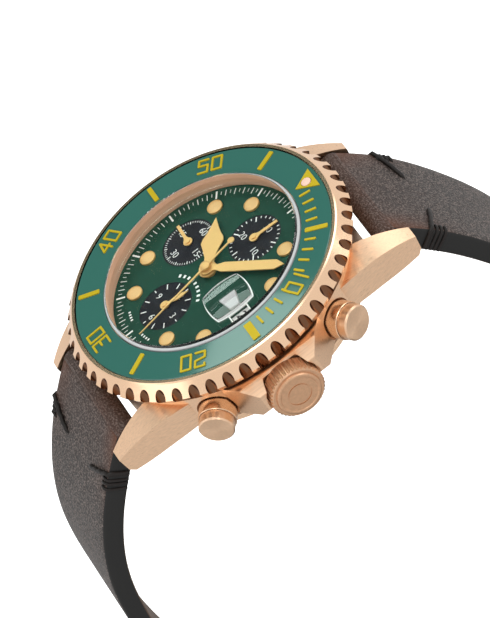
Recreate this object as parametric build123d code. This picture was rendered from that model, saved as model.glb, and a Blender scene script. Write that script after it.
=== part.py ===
"""Automatic chronograph dive watch with a rotating bezel and a two-piece leather strap.

Millimetres. The origin is the centre of the case back's outer face, +Z runs out through the
crystal, +X points to the crown (3 o'clock) and +Y to 12 o'clock. The strap is unbuckled and hangs
in the curve it keeps from the wrist.
"""
import os
from math import atan2, cos, degrees, hypot, pi, radians, sin

from build123d import *

# ---- driving dimensions -------------------------------------------------------------------------
GAP = 0.05                    # radial running clearance of parts that turn or slide

CASE_R = 20.0                 # case band
CASE_TOP = 9.9
CASE_LOW = 4.7
BORE_R = 15.6                 # room for the movement
BACK_R = 18.2                 # case back
BACK_Z = 2.6
NECK_R = 16.95                # collar that carries the bezel and the crystal
NECK_TOP = 13.25
GROOVE_R = 16.5                # bottom of the collar's gasket groove
SEAT_Z = 12.4                 # ledge under the crystal

LUG_IN = 10.25                # half the gap between a pair of lugs
FACET_TILT = 11.3             # slope of the lugs' top facets, degrees
BAR_Y = 21.8                  # spring bar
BAR_Z = 5.6
BAR_R = 0.75

GLASS_R = 14.5
GLASS_TOP = 14.6
GASKET_R = 14.85
DIAL_TOP = 10.46
DIAL_R = 15.4
SUB_OFFSET = 7.5              # sub-dial centres from the middle
SUB_R = 4.0
MARKER_ORBIT = 11.43

BEZEL_IN = NECK_R + GAP
BEZEL_R = 21.65
BEZEL_LOW = 10.15
BEZEL_TOP = 13.8
NOTCHES = 52
INSERT_IN = 14.95
INSERT_OUT = 19.4
INSERT_GAP = 0.12             # dark line round the insert
INSERT_SLOPE = 0.25           # how much lower the insert's outer edge is
MARKS_Z = 14.0                # insert's top at its inner edge
MARK_HEIGHT = 0.14            # raised markings

STEM_Z = 6.4                  # height of the crown and of both pushers
CROWN_IN = 21.4
CROWN_OUT = 24.2
CROWN_R = 3.9
PUSHER_ANGLE = 30

PLATE_R = 14.8                # movement
PLATE_LOW = 7.2
PLATE_TOP = 9.3
BRIDGE_LOW = 4.2
BRIDGE_TOP = 5.0

STRAP_HALF = 9.9              # half the strap's width at the lugs
STRAP_TAIL = 9.0              # and near the buckle
STRAP_THICK = 3.2
STRAP_THIN = 2.4

# time shown, as clock angles in degrees
HOUR_AT = 304
MINUTE_AT = 45.8
CHRONO_AT = 167

TWELVE_OUTER = [(22.75, 7.05), (27.3, 2.0), (33.2, -7.7), (36.9, -16.8), (38.7, -27.0),
                (38.6, -36.0), (36.0, -45.0)]
TWELVE_TAIL = 24.0            # straight stretch that carries the keepers
SIX_OUTER = [(22.75, 7.05), (27.4, 2.1), (33.2, -6.2), (36.6, -14.5), (38.2, -24.5), (38.8, -36.0),
             (37.6, -48.0), (34.0, -60.0), (27.8, -70.6), (19.4, -79.0), (9.2, -84.6), (-2.2, -87.0)]


# ---- small helpers ------------------------------------------------------------------------------
def turned(*outline):
    """Solid of revolution about Z from its (radius, height) corners."""
    return revolve(make_face(Polyline(*[(r, 0, z) for r, z in outline], close=True)), Axis.Z)


def ring(inner, outer, low, high):
    return turned((inner, low), (outer, low), (outer, high), (inner, high))


def disc(radius, low, high, x=0.0, y=0.0):
    return Pos(x, y, (low + high) / 2) * Cylinder(radius, high - low)


def block(x0, x1, y0, y1, z0, z1):
    return Pos((x0 + x1) / 2, (y0 + y1) / 2, (z0 + z1) / 2) * Box(x1 - x0, y1 - y0, z1 - z0)


def cross_rod(radius, half_length, y, z):
    """Rod along X."""
    return Pos(0, y, z) * Rot(0, 90, 0) * Cylinder(radius, 2 * half_length)


def outward(angle):
    """Frame on the stem level whose Z points out of the case at this angle from +X."""
    return Pos(0, 0, STEM_Z) * Rot(0, 0, angle) * Rot(0, 90, 0)


def clock(angle, radius=0.0, z=0.0):
    """Frame at a clock angle whose Y points outwards."""
    return Pos(0, 0, z) * Rot(0, 0, -angle) * Pos(0, radius, 0)


def clock_xy(angle, radius):
    return radius * sin(radians(angle)), radius * cos(radians(angle))


def group(solids):
    return Compound(list(solids))


def plate(outline, low, high):
    """Prism from a closed list of (x, y) corners."""
    return extrude(make_face(Polyline(*[(x, y, low) for x, y in outline], close=True)), high - low)


def side_prism(face_edges, half_width):
    """Prism along X, both ways, from closed edges drawn in the YZ plane."""
    return extrude(make_face(face_edges), half_width, dir=(1, 0, 0), both=True)


# ---- case ---------------------------------------------------------------------------------------
def lug():
    """The lug at +X, +Y, reaching into the band, with its sloping top facet."""
    side = Polyline((0, 24.75, 9.9), (0, 24.75, 5.2), (0, 24.45, 3.0), (0, 23.7, 2.45), (0, 21.2, 3.0),
                    (0, 17.4, 3.9), (0, 13.0, CASE_LOW), (0, 8.0, CASE_LOW), (0, 8.0, 9.9), close=True)
    tall = Pos(LUG_IN, 0, 0) * extrude(make_face(side), 9, dir=(1, 0, 0))
    crease = ThreePointArc((12.1, 24.9), (14.25, 18.6), (15.9, 10.0))
    close = Polyline((15.9, 10.0), (14.0, 8.0), (LUG_IN, 8.0), (LUG_IN, 24.9), (12.1, 24.9))
    plan = extrude(make_face([crease, *close.edges()]), 12)
    top = Spline((0, 7.0, 9.95), (0, 14.0, 9.78), (0, 17.5, 9.2), (0, 22.0, 7.4), (0, 25.6, 4.9))
    above = Polyline((0, 25.6, 4.9), (0, 26.0, 14.0), (0, 7.0, 14.0), (0, 7.0, 9.95))
    wedge = extrude(make_face([top, *above.edges()]), 14, dir=(1, 0, 0))
    facet = Pos(LUG_IN, 0, 8) * Rot(0, FACET_TILT, 0) * Pos(-2, 0, -8) * wedge
    return (tall & plan) - facet


def crown_guards():
    """Both guards as one wedge, before the crown's pocket is bored."""
    outline = [(14, 9.6), (18.33, 8.0), (23.0, 4.5), (23.0, -4.5), (18.33, -8.0), (14, -9.6)]
    body = plate(outline, CASE_LOW, CASE_TOP)
    top = Pos(20.7, 0, 9.7) * Rot(0, 21.3, 0) * Pos(5, 0, 5) * Box(10, 30, 10)
    below = Pos(23.0, 0, 5.95) * Rot(0, -42, 0) * Pos(-5, 0, -5) * Box(10, 30, 10)
    return body - top - below


def case_middle():
    band = turned((BORE_R, BACK_Z + 0.4), (BACK_R - 1.6, BACK_Z + 0.4), (BACK_R - 1.6, BACK_Z + 0.05),
                  (BACK_R, BACK_Z + 0.05), (CASE_R - 0.5, CASE_LOW - 0.5), (CASE_R, CASE_LOW),
                  (CASE_R, CASE_TOP - 0.2), (CASE_R - 0.2, CASE_TOP), (NECK_R, CASE_TOP), (NECK_R, 11.3),
                  (GROOVE_R, 11.3), (GROOVE_R, 12.1), (NECK_R, 12.1), (NECK_R, NECK_TOP),
                  (GASKET_R, NECK_TOP), (GASKET_R, SEAT_Z), (BORE_R, SEAT_Z))
    quarter = lug()
    upper = quarter + mirror(quarter, Plane.YZ)
    case = band + upper + mirror(upper, Plane.XZ) + crown_guards()
    inside = disc(BORE_R, 2.0, SEAT_Z) + disc(GASKET_R, SEAT_Z, 15)
    between = block(-LUG_IN, LUG_IN, 19.0, 26, 0, 9.3)
    pocket = outward(0) * turned((0, 21.1), (4.15, 21.1), (4.15, 27), (0, 27))
    case = case - inside - between - mirror(between, Plane.XZ) - pocket
    case -= outward(0) * disc(1.6, 14, 22)
    for angle in (PUSHER_ANGLE, -PUSHER_ANGLE):
        case -= outward(angle) * turned((0, 14), (1.8, 14), (1.8, 18.4), (2.85, 18.4), (2.85, 24), (0, 24))
    for side in (1, -1):
        case -= cross_rod(0.45, LUG_IN + 1.2, side * BAR_Y, BAR_Z)
    return case - ring(17.5, 18.7, 9.25, 10.0)


def case_back():
    """Screwed back with six wrench slots round its edge."""
    body = turned((0, 0), (15.2, 0), (BACK_R, 1.6), (BACK_R, BACK_Z), (BACK_R - 1.65, BACK_Z),
                  (BACK_R - 1.65, 2.45), (BORE_R - 0.05, 2.45), (BORE_R - 0.05, 3.4), (14.9, 3.4),
                  (14.9, 2.0), (0, 2.0))
    slots = [clock(a, 16.9) * Box(2.0, 2.4, 1.5) for a in range(30, 390, 60)]
    step = ring(11.8, 12.2, -0.1, 0.15)
    return body - slots - step


def case_back_gasket():
    return ring(15.7, 16.45, 2.47, BACK_Z + 0.38)


def crown_tube():
    outer = turned((0.65, 15.7), (1.6, 15.7), (1.6, 22.5), (0.65, 22.5))
    return outward(0) * outer


def pusher_sleeve(angle):
    """Outer tube screwed into the case, with a cup for the cap and a seat for the spring."""
    return outward(angle) * turned((1.05, 15.8), (1.8, 15.8), (1.8, 18.4), (2.62, 18.4), (2.62, 21.75),
                                   (2.55, 21.85), (2.5, 21.85), (2.5, 20.0), (1.05, 20.0))


def bezel_click_spring():
    """Flat spring ring in the case groove, with two tongues that reach up to the bezel."""
    flat = ring(17.7, 18.5, 9.3, 9.55)
    tongues = [clock(a, 18.1, 9.6) * Rot(0, -14, 0) * Box(1.9, 0.6, 0.22) for a in (90, 270)]
    return flat + tongues


def bezel_gasket():
    return ring(GROOVE_R, 16.9, 11.35, 12.05)


def spring_bars():
    bars = []
    for side in (1, -1):
        tube = cross_rod(BAR_R, LUG_IN - 0.35, side * BAR_Y, BAR_Z)
        bars.append(tube + cross_rod(0.4, LUG_IN + 1.0, side * BAR_Y, BAR_Z))
    return group(bars)


# ---- crystal and dial ---------------------------------------------------------------------------
def crystal():
    edge = 0.1
    return turned((0, SEAT_Z), (GLASS_R, SEAT_Z), (GLASS_R, GLASS_TOP - edge),
                  (GLASS_R - edge, GLASS_TOP), (0, GLASS_TOP))


def cyclops_lens():
    """Magnifier bonded on the crystal over the date: barrel-shaped outline, domed top."""
    half_x, half_y, bow = 2.6, 2.75, 0.4
    sides = [ThreePointArc((-half_x, -half_y), (0, -half_y - bow), (half_x, -half_y)),
             ThreePointArc((half_x, -half_y), (half_x + bow, 0), (half_x, half_y)),
             ThreePointArc((half_x, half_y), (0, half_y + bow), (-half_x, half_y)),
             ThreePointArc((-half_x, half_y), (-half_x - bow, 0), (-half_x, -half_y))]
    slab = extrude(make_face(sides), 1.2)
    dome_r = 9.0
    dome = Pos(0, 0, 0.75 - dome_r) * Sphere(dome_r)
    return Pos(10.0, 0, GLASS_TOP) * (slab & dome)


def crystal_gasket():
    return ring(GLASS_R, GASKET_R, SEAT_Z, GLASS_TOP - 0.45)


def rehaut_ring():
    """Metal ring between dial and crystal, its wall leaning out slightly towards the dial."""
    return turned((14.75, DIAL_TOP), (BORE_R - 0.05, DIAL_TOP), (BORE_R - 0.05, SEAT_Z), (14.45, SEAT_Z))


def dial():
    body = disc(DIAL_R, DIAL_TOP - 0.4, DIAL_TOP)
    body -= disc(1.0, 9, 11)
    for angle in (0, 180, 270):
        x, y = clock_xy(angle, SUB_OFFSET)
        body -= disc(SUB_R, DIAL_TOP - 0.14, 11, x, y) + disc(0.55, 9, 11, x, y)
    body -= block(9.75, 11.85, -1.35, 1.35, 9, 11)
    return body


def subdial_plates():
    """Three grained sub-dials set into the dial, each with a raised rim step."""
    plates = []
    for angle in (0, 180, 270):
        x, y = clock_xy(angle, SUB_OFFSET)
        low = DIAL_TOP - 0.14
        face = turned((0.55, low), (SUB_R, low), (SUB_R, low + 0.1), (SUB_R - 0.25, low + 0.08),
                      (0.55, low + 0.08))
        plates.append(Pos(x, y, 0) * face)
    return group(plates)


def marker_places():
    return [clock(a, MARKER_ORBIT) for a in (30, 60, 120, 150, 210, 240, 300, 330)]


def hour_markers():
    cup = turned((0, DIAL_TOP), (1.15, DIAL_TOP), (1.15, DIAL_TOP + 0.3), (1.03, DIAL_TOP + 0.36),
                 (0.98, DIAL_TOP + 0.3), (0.98, DIAL_TOP + 0.12), (0, DIAL_TOP + 0.12))
    return group(place * cup for place in marker_places())


def marker_lume():
    dome = turned((0, DIAL_TOP + 0.12), (0.98, DIAL_TOP + 0.12), (0.98, DIAL_TOP + 0.28),
                  (0.6, DIAL_TOP + 0.38), (0, DIAL_TOP + 0.4))
    return group(place * dome for place in marker_places())


def date_disc():
    teeth = [clock(a * 360 / 31, 8.75) * Pos(0, 0, 9.87) * Box(0.8, 0.7, 0.3) for a in range(31)]
    return ring(9.0, 13.6, 9.72, 10.02) + teeth


# ---- hands --------------------------------------------------------------------------------------
def hand(angle, z, thick, hub_r, profile, tail=()):
    """Flat hand at a clock angle; profile is (half width, distance) from hub to tip."""
    right = [(w, d) for w, d in tail] + [(w, d) for w, d in profile]
    left = [(-w, d) for w, d in reversed(right) if w > 0]
    blade = plate(right + left, z, z + thick) + disc(hub_r, z, z + thick)
    return Rot(0, 0, -angle) * blade


def hour_hand():
    profile = [(0.72, 0.6), (0.8, 2.2), (1.25, 3.5), (1.72, 4.7), (1.58, 5.4), (1.0, 6.4), (0.5, 7.6),
               (0.0, 9.0)]
    z = 11.0
    blade = hand(HOUR_AT, z, 0.16, 1.35, profile, [(0.72, -0.6)])
    pipe = disc(0.95, 9.4, z)
    return blade + pipe - disc(0.72, 9, 12)


def minute_hand():
    profile = [(0.45, 0.6), (0.48, 1.7), (0.78, 2.6), (0.8, 6.0), (0.78, 11.0), (0.0, 12.4)]
    z = 11.35
    blade = hand(MINUTE_AT, z, 0.16, 1.15, profile, [(0.5, -0.6)])
    pipe = disc(0.67, 9.35, z)
    return blade + pipe - disc(0.42, 9, 12)


def chrono_seconds_hand():
    """Thin sweep hand with a ring counterweight, its boss and its arbor."""
    z = 11.7
    profile = [(0.16, 0.5), (0.11, 7.0), (0.07, 12.8)]
    tail = [(0.12, -4.6), (0.16, -0.6)]
    blade = hand(CHRONO_AT, z, 0.14, 0.75, profile, tail)
    weight = clock(CHRONO_AT + 180, 4.95, z + 0.07) * Cylinder(0.5, 0.14)
    boss = turned((0, z), (0.75, z), (0.75, z + 0.35), (0.45, z + 0.5), (0, z + 0.5))
    return blade + weight + boss + disc(0.37, 7.4, z)


BATON = [(0.5, 0.3), (0.24, 1.0), (0.22, 3.85)]
LEAF = [(0.3, 0.5), (0.16, 0.8), (0.42, 1.9), (0.34, 2.7), (0.0, 3.75)]


def counter_hand(dial_angle, hand_angle, profile, arbor_low=7.4):
    """Hand of a sub-dial with its boss and arbor."""
    x, y = clock_xy(dial_angle, SUB_OFFSET)
    z = 10.62
    blade = hand(hand_angle, z, 0.12, 0.68, profile)
    boss = disc(0.38, z, z + 0.3)
    return Pos(x, y, 0) * (blade + boss + disc(0.3, arbor_low, z))


# ---- rotating bezel -----------------------------------------------------------------------------
def bezel_ring():
    body = turned((BEZEL_IN, BEZEL_LOW), (20.4, BEZEL_LOW), (BEZEL_R - 0.25, 11.3), (BEZEL_R, 11.9),
                  (20.15, BEZEL_TOP - 0.15), (19.95, BEZEL_TOP), (INSERT_OUT + INSERT_GAP, BEZEL_TOP),
                  (INSERT_OUT + INSERT_GAP, 13.1), (BEZEL_IN, 13.1))
    pitch = 360 / NOTCHES
    cutters = [Rot(0, 0, i * pitch + pitch / 2) * disc(0.78, 9, 15, BEZEL_R - 0.3) for i in range(NOTCHES)]
    return body - cutters


def insert_top(r):
    return MARKS_Z - INSERT_SLOPE * (r - INSERT_IN) / (INSERT_OUT - INSERT_IN)


def bezel_insert():
    body = turned((INSERT_IN, 13.35), (BEZEL_IN, 13.35), (BEZEL_IN, 13.1), (INSERT_OUT, 13.1),
                  (INSERT_OUT, insert_top(INSERT_OUT) - 0.1), (INSERT_OUT - 0.1, insert_top(INSERT_OUT)),
                  (INSERT_IN + 0.1, insert_top(INSERT_IN + 0.1)), (INSERT_IN, MARKS_Z - 0.1))
    return body - clock(0, 17.55, 13.96) * Cylinder(0.75, 1.2)


def stroke_digit(digit):
    """Open stroke paths of one squared numeral in a unit cell, as lists of corners."""
    paths = {
        "0": [[(0, 0.5), (0, 1), (1, 1), (1, 0), (0, 0), (0, 0.5)]],
        "1": [[(0.5, 0), (0.5, 1)]],
        "2": [[(0, 0.84), (0, 1), (1, 1), (1, 0.56), (0, 0.4), (0, 0), (1, 0)]],
        "3": [[(0, 1), (1, 1), (1, 0), (0, 0)], [(0.35, 0.52), (1, 0.52)]],
        "4": [[(0.78, 0), (0.78, 1), (0, 0.32), (1.05, 0.32)]],
        "5": [[(1, 1), (0, 1), (0, 0.56), (1, 0.56), (1, 0), (0, 0)]],
    }
    return paths[digit]


def numeral(text, angle):
    """Raised bezel numeral with its foot towards the centre."""
    cell_w, cell_h, spacing, line = 1.4, 2.35, 2.1, 0.31
    middle = 17.3
    flat = Sketch()
    start = -spacing * (len(text) - 1) / 2
    for i, digit in enumerate(text):
        for corners in stroke_digit(digit):
            points = [(start + i * spacing + (x - 0.5) * cell_w, (y - 0.5) * cell_h) for x, y in corners]
            for a, b in zip(points, points[1:]):
                length = hypot(b[0] - a[0], b[1] - a[1])
                turn = degrees(atan2(b[1] - a[1], b[0] - a[0]))
                mid = Pos((a[0] + b[0]) / 2, (a[1] + b[1]) / 2)
                flat += mid * Rot(0, 0, turn) * SlotCenterToCenter(length, line)
    tilt = degrees(atan2(INSERT_SLOPE, INSERT_OUT - INSERT_IN))
    place = clock(angle, middle, insert_top(middle) - 0.06) * Rot(-tilt, 0, 0)
    return place * extrude(flat, MARK_HEIGHT + 0.06)


def bezel_bar(angle, r_in, r_out, width):
    tilt = degrees(atan2(INSERT_SLOPE, INSERT_OUT - INSERT_IN))
    middle = (r_in + r_out) / 2
    bar = extrude(RectangleRounded(width, r_out - r_in, min(width, 0.3) * 0.45), MARK_HEIGHT + 0.06)
    return clock(angle, middle, insert_top(middle) - 0.06) * Rot(-tilt, 0, 0) * bar


def bezel_markings():
    marks = [numeral(f"{minute}", minute * 6) for minute in (10, 20, 30, 40, 50)]
    for minute in (5, 15, 25, 35, 45, 55):
        width = 1.15 if minute == 15 else 0.7
        marks.append(bezel_bar(minute * 6, 15.6, 18.9, width))
    for minute in (1, 2, 3, 4, 6, 7, 8, 9, 11, 12, 13, 14):
        marks.append(bezel_bar(minute * 6, 15.7, 17.4, 0.34))
    tilt = degrees(atan2(INSERT_SLOPE, INSERT_OUT - INSERT_IN))
    arrow = Polyline((0, -1.75), (2.05, 1.25), (-2.05, 1.25), close=True)
    shape = extrude(make_face(arrow) - Circle(0.78), MARK_HEIGHT + 0.06)
    marks.append(clock(0, 17.55, insert_top(17.55) - 0.06) * Rot(-tilt, 0, 0) * shape)
    return group(marks)


def bezel_lume_pip():
    return clock(0, 17.55) * turned((0, 13.38), (0.7, 13.38), (0.7, 14.05), (0.4, 14.2), (0, 14.22))


# ---- crown and pushers --------------------------------------------------------------------------
def crown():
    """Knurled crown with a bevelled rim and a raised plain ring on its face."""
    body = turned((1.65, CROWN_IN), (CROWN_R - 0.2, CROWN_IN), (CROWN_R, CROWN_IN + 0.2),
                  (CROWN_R, CROWN_OUT - 0.3), (CROWN_R - 0.3, CROWN_OUT), (3.25, CROWN_OUT),
                  (3.15, CROWN_OUT + 0.32), (3.0, CROWN_OUT + 0.4), (2.75, CROWN_OUT + 0.4),
                  (2.65, CROWN_OUT + 0.3), (0, CROWN_OUT + 0.3), (0, 22.9),
                  (1.65, 22.9), (1.65, 22.5), (2.15, 22.5), (2.15, 21.9), (1.65, 21.9))
    flutes = 40
    cutters = [Rot(0, 0, i * 360 / flutes) * disc(0.22, CROWN_IN - 1, CROWN_OUT + 1, CROWN_R + 0.02)
               for i in range(flutes)]
    mark = ring(1.55, 1.75, CROWN_OUT + 0.2, CROWN_OUT + 1)
    return outward(0) * (body - cutters - mark)


def crown_seal():
    return outward(0) * ring(1.62, 2.12, 21.95, 22.45)


def winding_stem():
    """Stem from the crown, square where it slides through the pinion."""
    round_part = disc(0.6, 10.6, 22.9)
    square = Pos(0, 0, 8.6) * Box(0.7, 0.7, 4.0)
    return outward(0) * (round_part + square)


def sliding_pinion():
    body = turned((0, 8.2), (1.0, 8.2), (1.0, 8.6), (0.7, 8.8), (0.7, 9.3), (1.0, 9.5), (1.0, 9.9), (0, 9.9))
    return outward(0) * (body - Pos(0, 0, 9) * Box(0.8, 0.8, 6))


def pusher_button(angle):
    """Cap with a groove at its foot, hollow underneath for the spring, and its stem."""
    cap = turned((0, 23.4), (2.25, 23.4), (2.45, 23.2), (2.45, 22.25), (2.32, 22.25), (2.32, 21.9),
                 (2.45, 21.9), (2.45, 21.2), (2.05, 21.2), (2.05, 22.6), (1.0, 22.6), (1.0, 15.9), (0, 15.9))
    return outward(angle) * cap


def pusher_spring(angle):
    """Closed stand-in sleeve of coils: a stack of rings joined by a thin wall."""
    rows = 6
    low, high = 20.05, 22.5
    step = (high - low) / rows
    body = ring(1.45, 1.6, low, high)
    for i in range(rows):
        middle = low + (i + 0.5) * step
        body += ring(1.3, 1.85, middle - 0.11, middle + 0.11)
    return outward(angle) * body


# ---- movement -----------------------------------------------------------------------------------
def toothed(radius, teeth, low, high, depth=0.3):
    """Wheel whose teeth are small trapezoids."""
    step = 2 * pi / teeth
    corners = []
    for i in range(teeth):
        for part, r in ((-0.28, radius - depth), (-0.14, radius), (0.14, radius), (0.28, radius - depth)):
            a = (i + part) * step
            corners.append((r * cos(a), r * sin(a)))
    return plate(corners, low, high)


def spoked(radius, teeth, low, high):
    wheel = toothed(radius, teeth, low, high)
    windows = ring(radius * 0.32, radius * 0.72, low - 1, high + 1)
    arms = [Rot(0, 0, a) * block(0, radius, -0.3, 0.3, low - 1, high + 1) for a in range(0, 360, 72)]
    return wheel - (windows - arms)


THIRD = (-4.6, 5.2)           # train arbors
FOURTH = (-SUB_OFFSET, 0.0)
ESCAPE = (-9.0, -5.1)
PALLET = (-6.2, -8.6)
BALANCE = (-0.5, -9.6)
BARREL = (6.2, 7.0)
BRIDGE_FEET = (0, 80, 118, 300)   # clock angles of the bridge's pillars and screws


def movement_ring():
    body = ring(PLATE_R + 0.05, BORE_R - 0.05, 3.6, 9.4)
    body -= outward(0) * disc(1.75, 13, 17)
    for angle in (PUSHER_ANGLE, -PUSHER_ANGLE):
        body -= outward(angle) * disc(2.0, 13, 17)
    return body


def main_plate():
    body = disc(PLATE_R, PLATE_LOW, PLATE_TOP)
    body -= disc(1.1, 7, 10)
    for angle in (0, 180, 270):
        body -= disc(0.36, 7, 10, *clock_xy(angle, SUB_OFFSET))
    body -= outward(0) * disc(1.1, 7.9, 16)
    for x, y in (THIRD, ESCAPE, PALLET, BALANCE, BARREL):
        body -= disc(0.22, 7, 10, x, y)
    return body


def train_bridge():
    """Three-quarter plate under the train, cut away over the balance."""
    body = disc(13.9, BRIDGE_LOW, BRIDGE_TOP) - block(-14, 14, -15, -6.9, 4, 6)
    body -= [disc(0.24, 4, 6, *spot) for spot in (THIRD, ESCAPE, BARREL)]
    body -= disc(0.36, 4, 6, *FOURTH) + disc(0.45, 4, 6)
    feet = [disc(1.2, BRIDGE_TOP, PLATE_LOW, *clock_xy(a, 12.5)) for a in BRIDGE_FEET]
    return body + feet


def balance_cock():
    arm = block(-1.6, 1.6, -13.6, -8.8, BRIDGE_LOW, BRIDGE_TOP)
    foot = block(-1.6, 1.6, -13.6, -12.9, BRIDGE_TOP, 6.9)
    foot += disc(0.9, 6.9, PLATE_LOW, 0, -13.2)
    return Pos(-0.5, 0, 0) * (arm + foot) - disc(0.24, 4, 6, *BALANCE)


def arbor(spot, low=4.4, high=9.0):
    return disc(0.18, low, high, *spot)


def barrel():
    drum = toothed(4.6, 72, 5.3, 5.7) + ring(3.9, 4.3, 5.3, 6.9) + disc(4.3, 6.7, 6.9)
    return Pos(*BARREL) * (drum + disc(0.9, 5.3, 6.9) - disc(0.75, 5.9, 6.5)) + arbor(BARREL)


def spiral_band(inner, outer, turns, width, low, high):
    """Flat strip wound in a spiral."""
    steps = int(turns * 8)

    def edge(shift):
        points = []
        for i in range(steps + 1):
            a = 2 * pi * turns * i / steps
            r = inner + (outer - inner) * i / steps + shift
            points.append((r * cos(a), r * sin(a), low))
        return points

    one, two = edge(width / 2), edge(-width / 2)
    outline = [Spline(*one), Line(one[-1], two[-1]), Spline(*reversed(two)), Line(two[0], one[0])]
    return extrude(make_face(outline), high - low)


def mainspring():
    return Pos(*BARREL) * spiral_band(1.2, 3.65, 5, 0.14, 5.8, 6.6)


def centre_wheel():
    """Centre wheel on the hollow pipe that carries the minute hand."""
    return spoked(4.2, 60, 6.1, 6.4) + disc(0.67, 5.1, 9.3) - disc(0.42, 4, 10)


def hour_wheel():
    return toothed(2.0, 32, 9.36, 9.44, 0.2) - disc(0.96, 9, 10)


def third_wheel():
    return Pos(*THIRD) * (spoked(3.2, 48, 6.6, 6.85) + disc(0.5, 5.7, 6.6)) + arbor(THIRD)


def fourth_wheel():
    return Pos(*FOURTH) * (spoked(2.6, 48, 5.2, 5.45) + disc(0.3, 4.3, 10.55))


def escape_wheel():
    points = []
    for i in range(15):
        a = i * 2 * pi / 15
        points += [(2.0 * cos(a), 2.0 * sin(a)), (1.45 * cos(a + 0.09), 1.45 * sin(a + 0.09))]
    wheel = plate(points, 6.1, 6.3) - (ring(0.7, 1.2, 6, 7) - block(-2, 2, -0.15, 0.15, 6, 7))
    return Pos(*ESCAPE) * (wheel + disc(0.35, 5.2, 6.1)) + arbor(ESCAPE)


def pallet_fork():
    lever = plate([(-0.3, -0.3), (2.2, -0.22), (2.2, 0.22), (-0.3, 0.3), (-1.1, 1.1), (-1.5, 0.8), (-0.7, 0),
                   (-1.5, -0.8), (-1.1, -1.1)], 5.7, 5.85)
    turn = degrees(atan2(BALANCE[1] - PALLET[1], BALANCE[0] - PALLET[0]))
    return Pos(*PALLET) * Rot(0, 0, turn) * (lever + disc(0.3, 5.6, 5.95)) + arbor(PALLET, 5.2)


def balance_wheel():
    rim = ring(2.75, 3.15, 6.2, 6.6) + block(-2.9, 2.9, -0.2, 0.2, 6.3, 6.5) + disc(0.5, 6.1, 6.7)
    return Pos(*BALANCE) * rim + arbor(BALANCE)


def hairspring():
    return Pos(*BALANCE) * spiral_band(0.7, 2.3, 6, 0.06, 5.2, 5.35)


def rotor():
    half = disc(14.2, 2.5, 2.9) - block(-15, 15, 1.2, 15, 2, 5)
    rim = ring(12.3, 14.2, 2.5, 3.9) - block(-15, 15, 0, 15, 2, 5)
    return half + rim + disc(2.4, 2.5, 2.9) - disc(1.65, 2, 5)


def rotor_bearing():
    return turned((0, 2.35), (1.9, 2.35), (1.9, 2.45), (1.6, 2.45), (1.6, 2.95), (2.4, 2.95),
                  (2.4, BRIDGE_LOW), (0, BRIDGE_LOW))


def movement_screws():
    screws = []
    for angle in BRIDGE_FEET:
        x, y = clock_xy(angle, 12.5)
        head = disc(0.8, 3.95, BRIDGE_LOW, x, y) - block(x - 1, x + 1, y - 0.1, y + 0.1, 3.9, 4.06)
        screws.append(head)
    return group(screws)


# ---- strap --------------------------------------------------------------------------------------
def thickness(depth):
    """Leather thickness, full at the lugs and thinner towards the buckle."""
    share = min(1.0, max(0.0, -depth / 45))
    return STRAP_THICK + (STRAP_THIN - STRAP_THICK) * share


def strap_outline(outer):
    """Closed outline in the YZ plane of a strap half whose outer face follows the points."""
    curve = Spline(*[(0, y, z) for y, z in outer])
    inner = []
    count = 16
    for i in range(count + 1):
        at = curve @ (i / count)
        along = curve % (i / count)
        thick = thickness(at.Z)
        inner.append((0, at.Y + along.Z * thick, at.Z - along.Y * thick))
    return curve, inner


def strap_taper():
    """Everything inside the strap's plan width, which narrows towards the buckle."""
    corners = [(STRAP_HALF, 12), (STRAP_HALF, 2), (STRAP_TAIL, -38), (STRAP_TAIL, -90)]
    outline = corners + [(-x, z) for x, z in reversed(corners)]
    face = make_face(Polyline(*[(x, 0, z) for x, z in outline], close=True))
    return extrude(face, 60, dir=(0, 1, 0), both=True)


def strap_frame(curve, share):
    """Frame on a strap curve in the YZ plane: Y runs along it."""
    at, along = curve @ share, curve % share
    return Pos(0, at.Y, at.Z) * Rot(degrees(atan2(along.Z, along.Y)), 0, 0)


def tail_frame():
    """Frame at the end of the 12 o'clock half: Y along the strap, Z out of its outer face."""
    return strap_frame(Spline(*[(0, y, z) for y, z in TWELVE_OUTER]), 1)


def strap_12():
    curve, inner = strap_outline(TWELVE_OUTER)
    outline = [curve, Line(curve @ 1, inner[-1]), Spline(*reversed(inner)), Line(inner[0], curve @ 0)]
    half = side_prism(outline, 15) + cross_rod(1.72, 15, BAR_Y, BAR_Z)
    tail = tail_frame() * block(-15, 15, -0.2, TWELVE_TAIL, -STRAP_THIN, 0)
    loop = tail_frame() * Pos(0, TWELVE_TAIL, -STRAP_THIN / 2) * Rot(0, 90, 0) * Cylinder(1.5, 30)
    half = (half + tail + loop) & strap_taper()
    half -= cross_rod(BAR_R + GAP, 20, BAR_Y, BAR_Z)
    half -= tail_frame() * Pos(0, TWELVE_TAIL, -STRAP_THIN / 2) * Rot(0, 90, 0) * Cylinder(0.75, 40)
    half -= tail_frame() * block(-1.7, 1.7, TWELVE_TAIL - 4, TWELVE_TAIL + 5, -5, 5)
    return half


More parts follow.
